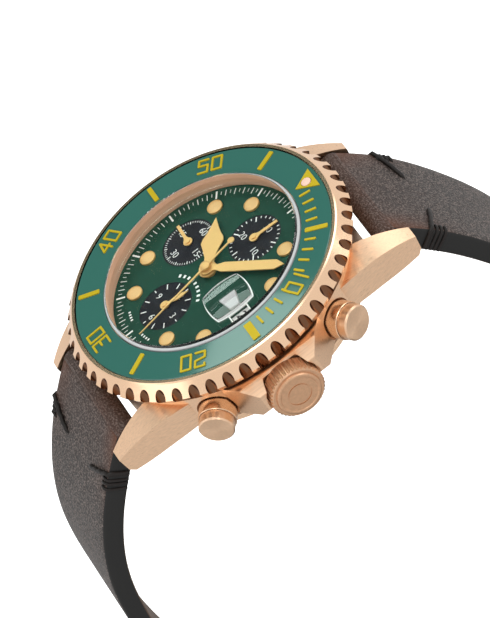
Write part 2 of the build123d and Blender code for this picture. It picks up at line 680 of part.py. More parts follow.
def strap_6():
    curve, inner = strap_outline(SIX_OUTER)
    tip = (curve @ 1 + Vector(*inner[-1])) * 0.5 + (curve % 1) * 1.0
    outline = [curve, ThreePointArc(curve @ 1, tip, inner[-1]), Spline(*reversed(inner)),
               Line(inner[0], curve @ 0)]
    half = side_prism(outline, 15) + cross_rod(1.72, 15, BAR_Y, BAR_Z)
    half = half & strap_taper()
    half -= cross_rod(BAR_R + GAP, 20, BAR_Y, BAR_Z)
    for i in range(7):
        half -= strap_frame(curve, 0.84 - 0.052 * i) * Cylinder(0.95, 14)
    edge = [(10, 2), (0.0, 2), (0.0, 1.2), (2.4, 0.7), (5.4, -1.6), (7.9, -6.0), (STRAP_TAIL, -14.0),
            (10, -14.0)]
    corner = plate(edge, -6, 6)
    half -= strap_frame(curve, 1) * (corner + mirror(corner, Plane.YZ))
    return mirror(half, Plane.XZ)


def keeper(at):
    """Leather loop round the 12 o'clock half, this far along its straight stretch."""
    half_in, wall, clear = STRAP_TAIL + 0.35, 1.2, 0.3
    room = STRAP_THIN + 0.6
    outer = block(-half_in - wall, half_in + wall, at - 2.5, at + 2.5, -STRAP_THIN - clear - wall,
                  room + wall)
    inner = block(-half_in, half_in, at - 4, at + 4, -STRAP_THIN - clear, room)
    outer = fillet(outer.edges().filter_by(Axis.Y), 1.3)
    return outer, inner


def fixed_keeper():
    outer, inner = keeper(TWELVE_TAIL - 7.2)
    sewn = block(-STRAP_TAIL, STRAP_TAIL, TWELVE_TAIL - 9.7, TWELVE_TAIL - 4.7, -STRAP_THIN - 0.4,
                 -STRAP_THIN)
    return tail_frame() * (outer - inner + sewn)


def free_keeper():
    outer, inner = keeper(TWELVE_TAIL - 16.0)
    return tail_frame() * (outer - inner)


# ---- buckle -------------------------------------------------------------------------------------
def buckle_place():
    """Frame on the buckle bar: Y along the strap, Z out of its outer face."""
    return tail_frame() * Pos(0, TWELVE_TAIL, -STRAP_THIN / 2)


def buckle_bar():
    return buckle_place() * Rot(0, 90, 0) * Cylinder(0.7, 21.4)


def buckle_frame():
    half, reach = 11.4, 9.6
    corners = [(9.35, -1.4), (half - 0.3, -1.4), (half, 2.0), (half - 0.5, reach - 2.0), (half - 2.6, reach)]
    outline = corners + [(-x, y) for x, y in reversed(corners)]
    body = plate([(x, y) for x, y in outline], -0.95, 0.95)
    body -= block(-9.35, 9.35, -3, reach - 2.4, -3, 3)
    body -= Rot(0, 90, 0) * Cylinder(0.75, 40)
    body -= block(-1.15, 1.15, reach - 3, reach + 1, 0.55, 2)
    return buckle_place() * body


def buckle_tang():
    loop = Rot(0, 90, 0) * (Cylinder(1.3, 2.4) - Cylinder(0.75, 4))
    reach = 9.4
    outline = [(0.9, -0.4), (1.35, 0.35), (3.0, 0.95), (reach - 2.6, 1.5), (reach, 1.2), (reach, 0.62),
               (reach - 2.6, 0.75), (3.0, 0.1)]
    face = make_face(Polyline(*[(0, y, z) for y, z in outline], close=True))
    return buckle_place() * (loop + extrude(face, 1.0, dir=(1, 0, 0), both=True))


# ---- write every piece --------------------------------------------------------------------------
PIECES = {
    "case_middle": case_middle, "case_back": case_back, "case_back_gasket": case_back_gasket,
    "crown_tube": crown_tube,
    "pusher_sleeves": lambda: group([pusher_sleeve(PUSHER_ANGLE), pusher_sleeve(-PUSHER_ANGLE)]),
    "crystal": crystal, "cyclops_lens": cyclops_lens, "crystal_gasket": crystal_gasket,
    "rehaut_ring": rehaut_ring, "movement_ring": movement_ring, "dial": dial,
    "subdial_plates": subdial_plates, "hour_markers": hour_markers, "marker_lume": marker_lume,
    "date_disc": date_disc, "hour_hand": hour_hand, "minute_hand": minute_hand,
    "chrono_seconds_hand": chrono_seconds_hand,
    "small_seconds_hand": lambda: counter_hand(270, 272, BATON, 10.56),
    "chrono_minute_hand": lambda: counter_hand(0, 2, BATON),
    "chrono_hour_hand": lambda: counter_hand(180, 9, LEAF),
    "bezel_ring": bezel_ring, "bezel_insert": bezel_insert, "bezel_markings": bezel_markings,
    "bezel_lume_pip": bezel_lume_pip, "bezel_click_spring": bezel_click_spring,
    "bezel_gasket": bezel_gasket, "crown": crown, "crown_seal": crown_seal,
    "winding_stem": winding_stem, "sliding_pinion": sliding_pinion,
    "pusher_start_button": lambda: pusher_button(PUSHER_ANGLE),
    "pusher_start_spring": lambda: pusher_spring(PUSHER_ANGLE),
    "pusher_reset_button": lambda: pusher_button(-PUSHER_ANGLE),
    "pusher_reset_spring": lambda: pusher_spring(-PUSHER_ANGLE),
    "main_plate": main_plate, "train_bridge": train_bridge, "balance_cock": balance_cock,
    "barrel": barrel, "mainspring": mainspring, "centre_wheel": centre_wheel, "hour_wheel": hour_wheel,
    "third_wheel": third_wheel, "fourth_wheel": fourth_wheel, "escape_wheel": escape_wheel,
    "pallet_fork": pallet_fork, "balance_wheel": balance_wheel, "hairspring": hairspring,
    "rotor": rotor, "rotor_bearing": rotor_bearing, "movement_screws": movement_screws,
    "spring_bars": spring_bars, "strap_12": strap_12, "strap_6": strap_6,
    "fixed_keeper": fixed_keeper, "free_keeper": free_keeper, "buckle_bar": buckle_bar,
    "buckle_frame": buckle_frame, "buckle_tang": buckle_tang,
}

os.makedirs("parts", exist_ok=True)
for name, make in PIECES.items():
    export_step(make(), f"parts/{name}.step")
    print("wrote", name, flush=True)
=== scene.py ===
"""Looks of the dive watch: materials, printing, leather strap and studio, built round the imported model.

The frame is the part's own: metres, origin at the centre of the case back, +X to the crown, +Y to
12 o'clock, +Z out through the crystal.
"""
from math import atan2, cos, pi, radians, sin

import bpy
import numpy as np
from mathutils import Matrix, Vector


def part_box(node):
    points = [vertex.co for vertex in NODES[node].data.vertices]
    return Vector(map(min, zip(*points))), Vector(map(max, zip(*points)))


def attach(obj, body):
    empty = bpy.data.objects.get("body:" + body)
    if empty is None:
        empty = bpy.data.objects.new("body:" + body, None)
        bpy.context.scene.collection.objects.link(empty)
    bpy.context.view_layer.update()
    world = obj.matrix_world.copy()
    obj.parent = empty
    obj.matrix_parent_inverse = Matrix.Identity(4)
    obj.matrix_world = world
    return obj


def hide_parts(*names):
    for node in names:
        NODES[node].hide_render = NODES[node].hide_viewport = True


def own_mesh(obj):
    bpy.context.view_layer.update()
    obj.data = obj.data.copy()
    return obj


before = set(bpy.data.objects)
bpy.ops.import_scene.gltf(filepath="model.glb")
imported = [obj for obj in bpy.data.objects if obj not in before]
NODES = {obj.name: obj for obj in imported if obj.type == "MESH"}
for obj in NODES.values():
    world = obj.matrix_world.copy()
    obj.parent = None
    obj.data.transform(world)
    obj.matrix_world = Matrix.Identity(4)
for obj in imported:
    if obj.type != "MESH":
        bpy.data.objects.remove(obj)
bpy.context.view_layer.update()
MM = 0.001


# ---- places taken from the model ----------------------------------------------------------------
def middle(node):
    low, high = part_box(node)
    return (low + high) / 2


DIAL_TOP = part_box("dial")[1].z
STEM_Z = middle("crown").z
SUB_OFFSET = 7.5 * MM
PRINT = 0.02 * MM             # thickness of printed marks
LENS_LIFT = 0.012             # film of cement under the date magnifier, in millimetres


# ---- materials ----------------------------------------------------------------------------------
SOCKETS = {"base": "Base Color", "metal": "Metallic", "rough": "Roughness", "ior": "IOR",
           "clear": "Transmission Weight", "coat": "Coat Weight", "coat_rough": "Coat Roughness",
           "specular": "Specular IOR Level", "glow": "Emission Color", "glow_by": "Emission Strength"}


class Finish:
    """One material with short ways to add procedural texture to it."""

    def __init__(self, name, **sockets):
        self.material = bpy.data.materials.new(name)
        self.material.use_nodes = True
        self.nodes = self.material.node_tree.nodes
        self.links = self.material.node_tree.links
        self.shader = self.nodes["Principled BSDF"]
        for key, value in sockets.items():
            if isinstance(value, tuple):
                value = (*value, 1.0)
            self.shader.inputs[SOCKETS[key]].default_value = value

    def add(self, kind, **inputs):
        node = self.nodes.new(kind)
        for key, value in inputs.items():
            self.put(node.inputs[key.replace("_", " ")], value)
        return node

    def put(self, socket, value):
        if isinstance(value, bpy.types.NodeSocket):
            self.links.new(value, socket)
        else:
            socket.default_value = value

    def place(self, scale=(1, 1, 1), turn=(0, 0, 0), at=(0, 0, 0)):
        """Object coordinates moved so that the point at is the origin, turned, then scaled."""
        coordinates = self.add("ShaderNodeTexCoord").outputs["Object"]
        shift = self.add("ShaderNodeVectorMath", Vector=coordinates)
        shift.operation = "SUBTRACT"
        shift.inputs[1].default_value = at
        rotate = self.add("ShaderNodeMapping", Vector=shift.outputs[0], Rotation=turn)
        return self.add("ShaderNodeMapping", Vector=rotate.outputs[0], Scale=scale).outputs[0]

    def noise(self, where, scale=1.0, detail=2.0, rough=0.5):
        return self.add("ShaderNodeTexNoise", Vector=where, Scale=scale, Detail=detail,
                        Roughness=rough).outputs["Fac"]

    def span(self, value, low, high, to_low=0.0, to_high=1.0):
        node = self.add("ShaderNodeMapRange")
        for socket, number in zip(("Value", "From Min", "From Max", "To Min", "To Max"),
                                  (value, low, high, to_low, to_high)):
            self.put(node.inputs[socket], number)
        return node.outputs["Result"]

    def blend(self, amount, one, two):
        """Colour between two colours."""
        node = self.add("ShaderNodeMix")
        node.data_type = "RGBA"
        self.put(node.inputs[0], amount)
        for socket, value in ((node.inputs[6], one), (node.inputs[7], two)):
            self.put(socket, value if isinstance(value, bpy.types.NodeSocket) else (*value, 1.0))
        return node.outputs[2]

    def times(self, one, two, operation="MULTIPLY"):
        node = self.add("ShaderNodeMath")
        node.operation = operation
        self.put(node.inputs[0], one)
        self.put(node.inputs[1], two)
        return node.outputs[0]

    def colour(self, socket):
        self.links.new(socket, self.shader.inputs["Base Color"])

    def roughness(self, socket):
        self.links.new(socket, self.shader.inputs["Roughness"])

    def bump(self, height, distance, strength=1.0):
        node = self.add("ShaderNodeBump", Height=height, Strength=strength, Distance=distance)
        self.links.new(node.outputs["Normal"], self.shader.inputs["Normal"])


def srgb(code):
    """Linear colour of an RRGGBB code."""
    parts = [int(code[i:i + 2], 16) / 255 for i in (0, 2, 4)]
    return tuple(c / 12.92 if c <= 0.04045 else ((c + 0.055) / 1.055) ** 2.4 for c in parts)


def brushed(name, base, rough, scale, depth, metal=1.0, spread=0.12):
    """Metal with fine straight brushing: scale is small along the brush lines."""
    finish = Finish(name, base=base, metal=metal, rough=rough)
    lines = finish.noise(finish.place(scale=scale), detail=3.0, rough=0.6)
    dark = tuple(c * 0.86 for c in base)
    finish.colour(finish.blend(finish.span(lines, 0.35, 0.65), dark, base))
    finish.roughness(finish.span(lines, 0.3, 0.7, rough - spread / 2, rough + spread / 2))
    finish.bump(lines, depth)
    return finish.material


def spun(name, base, rough, at, axis_turn, pitch, depth, metal=1.0):
    """Surface with fine circular grooves round a point: the axis is Z after axis_turn."""
    finish = Finish(name, base=base, metal=metal, rough=rough)
    where = finish.place(turn=axis_turn, at=at)
    rings = finish.add("ShaderNodeTexWave", Vector=where, Scale=1 / pitch, Distortion=0.0)
    rings.wave_type = "RINGS"
    rings.rings_direction = "Z"
    grain = finish.noise(where, scale=2500.0, detail=2.0)
    finish.colour(finish.blend(finish.span(grain, 0.3, 0.7), tuple(c * 0.92 for c in base), base))
    finish.bump(rings.outputs["Fac"], depth)
    return finish.material


ROSE = srgb("F4CDAA")
# painted shade for the upright notch walls of the bezel, not a colour of the gold
NOTCH_PAINTED_SHADE = (0.2, 0.095, 0.05)
DIAL_GREEN = (0.010, 0.055, 0.036)
SUB_BLACK = (0.012, 0.015, 0.02)


def make_bezel_metal(rose):
    """Polished gold with painted shade: its upright walls, down in the grip notches, are painted darker
    than the bevel.
    """
    finish = Finish("polished_rose_gold", base=rose, metal=1.0, rough=0.2)
    normal = finish.add("ShaderNodeNewGeometry").outputs["Normal"]
    lean = finish.add("ShaderNodeSeparateXYZ", Vector=normal).outputs["Z"]
    # surfaces that face up keep the gold; upright walls take the painted notch shade
    flat = finish.span(finish.times(lean, lean), 0.004, 0.03)
    finish.colour(finish.blend(flat, NOTCH_PAINTED_SHADE, rose))
    return finish.material


def make_metals():
    rose = ROSE
    metals = {
        "rose_gold": brushed("satin_rose_gold", rose, 0.27, (2500, 200, 2500), 0.004 * MM),
        "lug_gold": brushed("brushed_rose_gold", rose, 0.33, (5000, 180, 5000), 0.012 * MM),
        "bezel_gold": make_bezel_metal(rose),
        "rehaut_gold": brushed("rehaut_rose_gold", srgb("FFCBA6"), 0.5, (300, 300, 9000), 0.02 * MM, 0.2),
        "crown_gold": brushed("matt_crown_bronze", srgb("DDB08C"), 0.4, (3000, 3000, 3000), 0.006 * MM),
        "hand_gold": Finish("cream_gold", base=srgb("DDB674"), metal=0.5, rough=0.4).material,
        "steel": Finish("steel", base=(0.56, 0.56, 0.57), metal=1.0, rough=0.25).material,
        "movement_steel": brushed("brushed_steel", (0.5, 0.5, 0.51), 0.3, (300, 4000, 300), 0.006 * MM),
        "movement_brass": Finish("gilt_brass", base=(0.72, 0.52, 0.22), metal=1.0, rough=0.28).material,
        "spring_steel": Finish("blued_spring", base=(0.22, 0.25, 0.34), metal=1.0, rough=0.3).material,
    }
    for name, angle in (("start", 30), ("reset", -30)):
        out = Vector((cos(radians(angle)), sin(radians(angle)), 0))
        turn = (0, radians(-90), 0)
        finish = spun(f"pusher_{name}_gold", rose, 0.3, out * 0.023 + Vector((0, 0, STEM_Z)), turn,
                      0.12 * MM, 0.008 * MM)
        metals[f"pusher_{name}"] = finish
    return metals


def make_others():
    ceramic = Finish("green_ceramic", base=(0.036, 0.14, 0.113), rough=0.06, coat=0.5, coat_rough=0.03)
    return {
        "green_ceramic": ceramic.material,
        "marking_gold": Finish("marking_gold", base=srgb("BFA60C"), metal=0.2, rough=0.42,
                               specular=0.35).material,
        "lume": Finish("cream_lume", base=srgb("DAB678"), rough=0.5, coat=0.1).material,
        "pip_lume": Finish("pip_lume", base=srgb("F0C4B0"), rough=0.4, coat=0.5).material,
        "dial_green": Finish("green_lacquer", base=DIAL_GREEN, rough=0.4, specular=0.08).material,
        "print_white": Finish("white_print", base=(0.85, 0.9, 0.87), rough=0.5).material,
        "print_black": Finish("black_print", base=(0.01, 0.01, 0.01), rough=0.5).material,
        "date_white": Finish("date_white", base=(0.85, 0.85, 0.83), rough=0.45).material,
        "gasket_white": Finish("gasket_white", base=(0.5, 0.5, 0.51), rough=0.4).material,
        "seal_black": Finish("seal_black", base=(0.012, 0.012, 0.012), rough=0.6).material,
    }


def make_subdial():
    """Near-black with fine concentric grooves round each of the three centres."""
    finish = Finish("subdial_black", base=SUB_BLACK, rough=0.42, specular=0.12)
    groove_pitch, grooved_radius, reach = 0.16 * MM, 4.3 * MM, 11.5 * MM
    heights = []
    for x, y in ((0, SUB_OFFSET), (0, -SUB_OFFSET), (-SUB_OFFSET, 0)):
        where = finish.place(at=(x, y, 0))
        rings = finish.add("ShaderNodeTexWave", Vector=where, Scale=1 / groove_pitch)
        rings.wave_type = "RINGS"
        rings.rings_direction = "Z"
        away = finish.add("ShaderNodeVectorMath", Vector=where)
        away.operation = "LENGTH"
        near = finish.times(away.outputs["Value"], reach, "LESS_THAN")
        inside = finish.times(finish.times(where_xy(finish, where), grooved_radius, "LESS_THAN"), near)
        heights.append(finish.times(rings.outputs["Fac"], inside))
    total = finish.times(finish.times(heights[0], heights[1], "ADD"), heights[2], "ADD")
    finish.bump(total, 0.01 * MM)
    return finish.material


def where_xy(finish, where):
    """Distance from the Z axis of a position."""
    flat = finish.add("ShaderNodeVectorMath", Vector=where)
    flat.operation = "MULTIPLY"
    flat.inputs[1].default_value = (1, 1, 0)
    away = finish.add("ShaderNodeVectorMath", Vector=flat.outputs[0])
    away.operation = "LENGTH"
    return away.outputs["Value"]


def make_glass(name):
    """Clear sapphire that lets light and shadow rays straight through."""
    finish = Finish(name, base=(1, 1, 1), rough=0.0, clear=1.0, ior=1.5)
    output = finish.nodes["Material Output"]
    path = finish.add("ShaderNodeLightPath")
    clear = finish.add("ShaderNodeBsdfTransparent")
    mix = finish.add("ShaderNodeMixShader")
    finish.links.new(path.outputs["Is Shadow Ray"], mix.inputs[0])
    finish.links.new(finish.shader.outputs[0], mix.inputs[1])
    finish.links.new(clear.outputs[0], mix.inputs[2])
    finish.links.new(mix.outputs[0], output.inputs["Surface"])
    return finish.material


def make_leather(name, base, warm):
    """Aged grained leather; the mesh attribute burnish says how far it is burnt to the warm colour."""
    finish = Finish(name, base=base, rough=0.6, specular=0.35)
    where = finish.place()
    speck = finish.noise(where, scale=4000.0, detail=1.0, rough=0.6)
    fine = finish.noise(where, scale=1200.0, detail=4.0, rough=0.7)
    broad = finish.noise(where, scale=160.0, detail=3.0)
    burn = finish.add("ShaderNodeAttribute")
    burn.attribute_name = "burnish"
    patchy = finish.times(burn.outputs["Fac"], finish.span(broad, 0.3, 0.7, 0.6, 1.25))
    dark = tuple(c * 0.22 for c in base)
    light = tuple(min(1.0, c * 3.6) for c in base)
    ground = finish.blend(finish.span(broad, 0.3, 0.7), tuple(c * 0.75 for c in base), base)
    speckled = finish.blend(finish.span(speck, 0.5, 0.62), ground, light)
    aged = finish.blend(finish.span(speck, 0.38, 0.5, 0.9, 0.0), speckled, dark)
    worn = finish.blend(finish.span(fine, 0.35, 0.6, 0.5, 0.0), aged, dark)
    finish.colour(finish.blend(patchy, worn, warm))
    finish.roughness(finish.span(fine, 0.3, 0.7, 0.5, 0.7))
    finish.bump(finish.times(speck, fine, "ADD"), 0.05 * MM, 0.55)
    return finish.material


METALS = make_metals()
OTHERS = make_others()
GLASS = make_glass("sapphire")
GROUND = Finish("ground_glass_edge", base=(0.9, 0.92, 0.92), rough=0.25, clear=0.55, ior=1.5).material
SUBDIAL = make_subdial()
LEATHER = make_leather("strap_leather", srgb("3B3431"), srgb("5C3016"))
EDGE = Finish("burnished_edge", base=(0.009, 0.0088, 0.0085), rough=0.5, specular=0.3).material
LINING = Finish("strap_lining", base=srgb("4A3526"), rough=0.7).material
THREAD = Finish("waxed_thread", base=(0.012, 0.009, 0.008), rough=0.5, specular=0.25).material

NODE_FINISH = {
    "case_middle": METALS["lug_gold"], "case_back": METALS["rose_gold"],
    "bezel_ring": METALS["bezel_gold"], "rehaut_ring": METALS["rehaut_gold"],
    "pusher_start_button": METALS["pusher_start"], "pusher_reset_button": METALS["pusher_reset"],
    "bezel_lume_pip": OTHERS["pip_lume"], "subdial_plates": SUBDIAL,
}
SLOT_FINISH = {**METALS, **OTHERS, "glass": GLASS, "subdial_black": SUBDIAL, "leather": LEATHER}


def dress_nodes():
    for name, node in NODES.items():
        for holder in node.material_slots:
            slot_name = holder.material.name.split(".")[0]
            holder.material = NODE_FINISH.get(name, SLOT_FINISH.get(slot_name, holder.material))


# ---- mesh helpers -------------------------------------------------------------------------------
def add_mesh(name, points, faces, finish, body, smooth=False):
    mesh = bpy.data.meshes.new(name)
    mesh.from_pydata([tuple(p) for p in points], [], faces)
    mesh.validate()
    if smooth:
        mesh.polygons.foreach_set("use_smooth", [True] * len(mesh.polygons))
    piece = bpy.data.objects.new(name, mesh)
    bpy.context.scene.collection.objects.link(piece)
    for each in finish if isinstance(finish, list) else [finish]:
        mesh.materials.append(each)
    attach(piece, body)
    return piece


class Marks:
    """Many small flat prisms gathered in one mesh."""

    def __init__(self, low, thick=PRINT):
        self.low, self.thick = low, thick
        self.points, self.faces = [], []

    def prism(self, outline):
        base, n = len(self.points), len(outline)
        for z in (self.low, self.low + self.thick):
            self.points += [Vector((x, y, z)) for x, y in outline]
        self.faces.append([base + i for i in reversed(range(n))])
        self.faces.append([base + n + i for i in range(n)])
        for i in range(n):
            j = (i + 1) % n
            self.faces.append([base + i, base + j, base + n + j, base + n + i])

    def bar(self, centre, angle, near, far, width):
        """Radial bar at a clock angle in degrees round a centre, from near to far in millimetres."""
        out = Vector((sin(radians(angle)), cos(radians(angle))))
        side = Vector((out.y, -out.x)) * width * MM / 2
        a = Vector(centre) + out * near * MM
        b = Vector(centre) + out * far * MM
        self.prism([a + side, b + side, b - side, a - side])

    def build(self, name, finish, body, slot):
        return add_mesh(name, self.points, self.faces, finish, body)


def clock_point(angle, radius, centre=(0, 0)):
    return (centre[0] + radius * MM * sin(radians(angle)), centre[1] + radius * MM * cos(radians(angle)))


def digits(name, text, size, at, turn, finish, body, bold=0.0, wide=1.0):
    """Flat numeral centred on a point, turned clockwise by degrees, a few hundredths thick."""
    curve = bpy.data.curves.new(name, "FONT")
    curve.body = text
    curve.size = size * MM
    curve.align_x, curve.align_y = "CENTER", "CENTER"
    curve.extrude = PRINT / 2
    curve.offset = bold * MM
    holder = bpy.data.objects.new(name + "_text", curve)
    bpy.context.scene.collection.objects.link(holder)
    bpy.context.view_layer.update()
    mesh = bpy.data.meshes.new_from_object(holder.evaluated_get(bpy.context.evaluated_depsgraph_get()))
    bpy.data.objects.remove(holder)
    mesh.transform(Matrix.Diagonal((wide, 1, 1, 1)))
    mesh.transform(Matrix.Translation(at) @ Matrix.Rotation(-radians(turn), 4, "Z"))
    piece = bpy.data.objects.new(name, mesh)
    bpy.context.scene.collection.objects.link(piece)
    mesh.materials.clear()
    mesh.materials.append(finish)
    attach(piece, body)
    return piece


# ---- crystal details ----------------------------------------------------------------------------
def revolved(name, outline, finish, body, steps=180):
    """Ring turned about Z from its closed (radius, height) outline in millimetres."""
    n = len(outline)
    points = [Vector((r * cos(a), r * sin(a), z)) * MM
              for a in np.linspace(0, 2 * pi, steps, endpoint=False) for r, z in outline]
    faces = []
    for i in range(steps):
        j = (i + 1) % steps
        for k in range(n):
            m = (k + 1) % n
            faces.append([i * n + k, j * n + k, j * n + m, i * n + m])
    return add_mesh(name, points, faces, finish, body)


def crystal_seal():
    """White gasket reaching a hair into the crystal's edge, with a gold inner wall."""
    low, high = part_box("crystal_gasket")
    inner, outer, foot, top = 14.46, high.x / MM - 0.01, low.z / MM, high.z / MM
    seal = revolved("crystal_seal", [(inner, foot), (outer, foot), (outer, top - 0.1), (outer - 0.1, top),
                                     (inner + 0.04, top), (inner, top - 0.04)],
                    [OTHERS["gasket_white"], METALS["rehaut_gold"]], "root")
    inner_wall = 5
    kinds = [int(i % 6 == inner_wall) for i in range(len(seal.data.polygons))]
    seal.data.polygons.foreach_set("material_index", kinds)
    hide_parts("crystal_gasket")


def date_lens():
    """Domed magnifier over the date, on a film of cement, with a finely ground edge."""
    low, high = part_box("cyclops_lens")
    centre = (low + high) / 2
    half_x, half_y, bow, foot, edge_top = 2.6, 2.75, 0.4, low.z / MM + LENS_LIFT, 0.42
    outline = []
    corners = [(-1, -1), (1, -1), (1, 1), (-1, 1)]
    for (x0, y0), (x1, y1) in zip(corners, corners[1:] + corners[:1]):
        for t in np.linspace(0, 1, 12, endpoint=False):
            push = bow * (1 - (2 * t - 1) ** 2)
            x = x0 * half_x + (x1 - x0) * half_x * t + (push * x0 if x0 == x1 else 0)
            y = y0 * half_y + (y1 - y0) * half_y * t + (push * y0 if y0 == y1 else 0)
            outline.append((x, y))
    n, rows = len(outline), []
    peak = (high.z - low.z) / MM
    for share in (1.0, 1.0, 0.97, 0.85, 0.7, 0.5, 0.25):
        far = (half_x ** 2 + half_y ** 2) ** 0.5
        row = []
        for x, y in outline:
            away = (x * x + y * y) ** 0.5 * share / far
            row.append((x * share, y * share, foot + peak - (peak - edge_top) * away ** 2))
        rows.append(row)
    rows[0] = [(x, y, foot) for x, y in outline]
    points = [Vector((centre.x / MM + x, centre.y / MM + y, z)) * MM for row in rows for x, y, z in row]
    points.append(Vector((centre.x / MM, centre.y / MM, foot + peak)) * MM)
    faces, kinds = [list(reversed(range(n)))], [0]
    for r in range(len(rows) - 1):
        for k in range(n):
            m = (k + 1) % n
            faces.append([r * n + k, r * n + m, (r + 1) * n + m, (r + 1) * n + k])
            kinds.append(1 if r == 0 else 0)
    last = (len(rows) - 1) * n
    for k in range(n):
        faces.append([last + k, last + (k + 1) % n, len(points) - 1])
        kinds.append(0)
    lens = add_mesh("date_magnifier", points, faces, [GLASS, GROUND], "root")
    lens.data.polygons.foreach_set("material_index", kinds)
    lens.data.polygons.foreach_set("use_smooth", [i > n for i in range(len(faces))])
    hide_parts("cyclops_lens")
    rim_in, rim_out = 1.004, 1.05
    rim = Marks(low.z + LENS_LIFT * MM, 0.1 * MM)
    for k in range(n):
        here, there = Vector(outline[k]) * MM, Vector(outline[(k + 1) % n]) * MM
        rim.prism([centre.xy + p for p in (here * rim_in, there * rim_in, there * rim_out, here * rim_out)])
    rim.build("date_magnifier_cement", OTHERS["print_white"], "root", "date_white")


# ---- dial printing ------------------------------------------------------------------------------
def print_minute_track():
    marks = Marks(DIAL_TOP)
    for i in range(240):
        angle = i * 1.5
        if i % 20 == 0:
            marks.bar((0, 0), angle, 13.0, 14.35, 0.26)
        elif i % 4 == 0:
            marks.bar((0, 0), angle, 13.25, 14.25, 0.11)
        elif i % 2 == 0:
            marks.bar((0, 0), angle, 13.55, 14.1, 0.08)
    marks.build("minute_track", OTHERS["print_white"], "root", "date_white")


SUB_PLACES = {"seconds": (-SUB_OFFSET, 0.0), "minutes": (0.0, SUB_OFFSET), "hours": (0.0, -SUB_OFFSET)}
SUB_TOP = DIAL_TOP - 0.06 * MM


def print_subdials():
    white = OTHERS["print_white"]
    seconds, minutes, hours = (Marks(SUB_TOP) for _ in range(3))
    for i in range(60):
        inner = 3.1 if i % 15 == 0 else 3.3 if i % 5 == 0 else 3.45
        seconds.bar(SUB_PLACES["seconds"], i * 6, inner, 3.75, 0.07 if i % 5 else 0.12)
    for i in range(30):
        inner = 2.95 if i % 5 == 0 else 3.45
        minutes.bar(SUB_PLACES["minutes"], i * 12, inner, 3.8, 0.13 if i % 5 else 0.17)
    for i in range(12):
        inner = 3.35 if i % 3 == 0 else 2.95
        hours.bar(SUB_PLACES["hours"], i * 30, inner, 3.8, 0.14)
    seconds.build("seconds_scale", white, "root", "date_white")
    minutes.build("minutes_scale", white, "root", "date_white")
    hours.build("hours_scale", white, "root", "date_white")
    rows = [("seconds", ("60", "15", "30", "45"), 2.45), ("hours", ("12", "3", "6", "9"), 2.4)]
    for which, texts, radius in rows:
        for i, text in enumerate(texts):
            x, y = clock_point(i * 90, radius, SUB_PLACES[which])
            digits(f"{which}_figure_{text}", text, 1.45, (x, y, SUB_TOP + PRINT / 2), 0, white, "root",
                   -0.02)
    for text, angle in (("30", 0), ("10", 120), ("20", 240)):
        x, y = clock_point(angle, 2.2, SUB_PLACES["minutes"])
        digits(f"minutes_figure_{text}", text, 1.45, (x, y, SUB_TOP + PRINT / 2), 0, white, "root",
               -0.02)


def print_dashes():
    """Plain dashes in an arc below the centre and at both sides of the foot of the dial."""
    marks = Marks(DIAL_TOP)
    for i in range(9):
        marks.bar(SUB_PLACES["hours"], -38 + i * 9.5, 4.75, 5.25, 0.34)
    for side in (1, -1):
        for i in range(4):
            marks.bar((0, 0), 180 + side * (8.5 + i * 2.4), 12.25, 12.6, 0.22)
    marks.build("dial_dashes", OTHERS["print_white"], "root", "date_white")


def date_details():
    """Frame of the date window, the thirty-one numbers, and a plain applied marker."""
    white, black = OTHERS["print_white"], OTHERS["print_black"]
    frame_marks = Marks(DIAL_TOP, 0.16 * MM)
    x0, x1, y0, y1, w = 9.55, 12.05, -1.55, 1.55, 0.2
    for a, b, c, d in ((x0, x1, y0, y0 + w), (x0, x1, y1 - w, y1), (x0, x0 + w, y0 + w, y1 - w),
                       (x1 - w, x1, y0 + w, y1 - w)):
        frame_marks.prism([Vector((p * MM, q * MM)) for p, q in ((a, c), (b, c), (b, d), (a, d))])
    frame_marks.build("date_window_frame", white, "root", "date_white")
    disc_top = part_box("date_disc")[1].z
    shown_day, number_radius = 22, 10.8
    for day in range(1, 32):
        angle = 90 + (day - shown_day) * 360 / 31
        x, y = clock_point(angle, number_radius)
        digits(f"date_number_{day}", str(day), 2.05, (x, y, disc_top + PRINT / 2), angle - 90, black,
               "date", 0.03, 0.9)
    marker = Marks(DIAL_TOP, 0.3 * MM)
    marker.prism([Vector((x * MM, y * MM)) for x, y in ((6.5, -1.1), (8.4, -0.6), (8.4, 0.6), (6.5, 1.1))])
    marker.build("applied_marker", OTHERS["gasket_white"], "root", "gasket_white")


# ---- leather ------------------------------------------------------------------------------------
STRAP_HALF, STRAP_TAIL = 9.9, 9.0
STRAP_THICK, STRAP_THIN = 3.2, 2.4
BAR_Y, BAR_Z = 21.8, 5.6
TAIL_LENGTH = 24.0
TWELVE_OUTER = [(22.75, 7.05), (27.3, 2.0), (33.2, -7.7), (36.9, -16.8), (38.7, -27.0), (38.6, -36.0),
                (36.0, -45.0)]
SIX_OUTER = [(22.75, 7.05), (27.4, 2.1), (33.2, -6.2), (36.6, -14.5), (38.2, -24.5), (38.8, -36.0),
             (37.6, -48.0), (34.0, -60.0), (27.8, -70.6), (19.4, -79.0), (9.2, -84.6), (-2.2, -87.0)]


